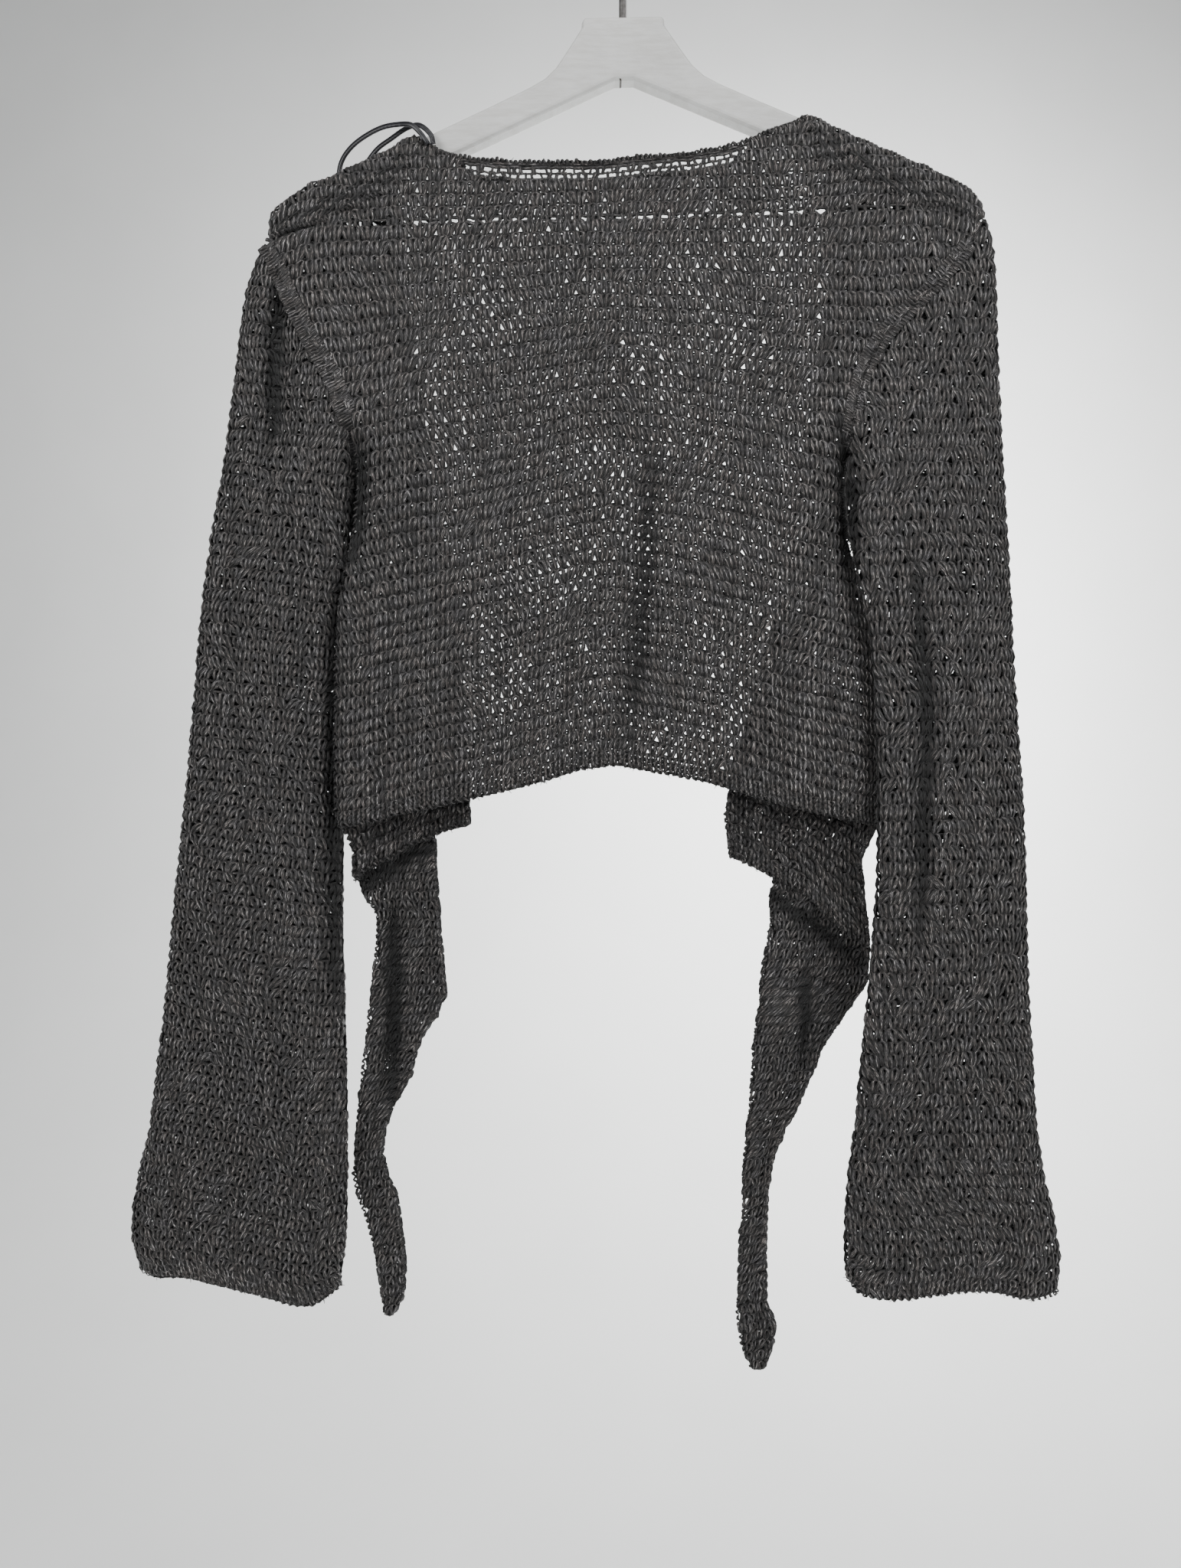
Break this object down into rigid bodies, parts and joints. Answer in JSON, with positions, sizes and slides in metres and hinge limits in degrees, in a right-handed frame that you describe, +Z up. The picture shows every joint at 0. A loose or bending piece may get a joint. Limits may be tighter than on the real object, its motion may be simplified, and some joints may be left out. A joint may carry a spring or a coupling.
{
  "type": "cropped cardigan on a hanger",
  "caption": "Loose open knit cropped cardigan with long flared sleeves and hanging tie ends, on a flat wooden hanger with a steel hook.",
  "frame": {"origin": "inside top of the hook, where a rod carries it", "axes": "+Z up, +Y from the back of the garment to its front, +X to the right of a viewer who faces its back"},
  "size_m": [0.5843, 0.04, 0.9252],
  "materials": {
    "charcoal_knit": "open knit of soft charcoal yarn",
    "painted_wood": "white paint, satin",
    "hook_steel": "plain bright wire",
    "dark_tape": "narrow twill tape"
  },
  "bodies": {
    "root": {"back_yoke": "charcoal_knit", "back_panel": "charcoal_knit", "left_front": "charcoal_knit", "right_front": "charcoal_knit", "left_sleeve": "charcoal_knit", "right_sleeve": "charcoal_knit", "left_tie": "charcoal_knit", "right_tie": "charcoal_knit", "hanging_loop": "dark_tape", "hanger_wood": "painted_wood", "hanger_hook": "hook_steel"}
  },
  "joints": []
}
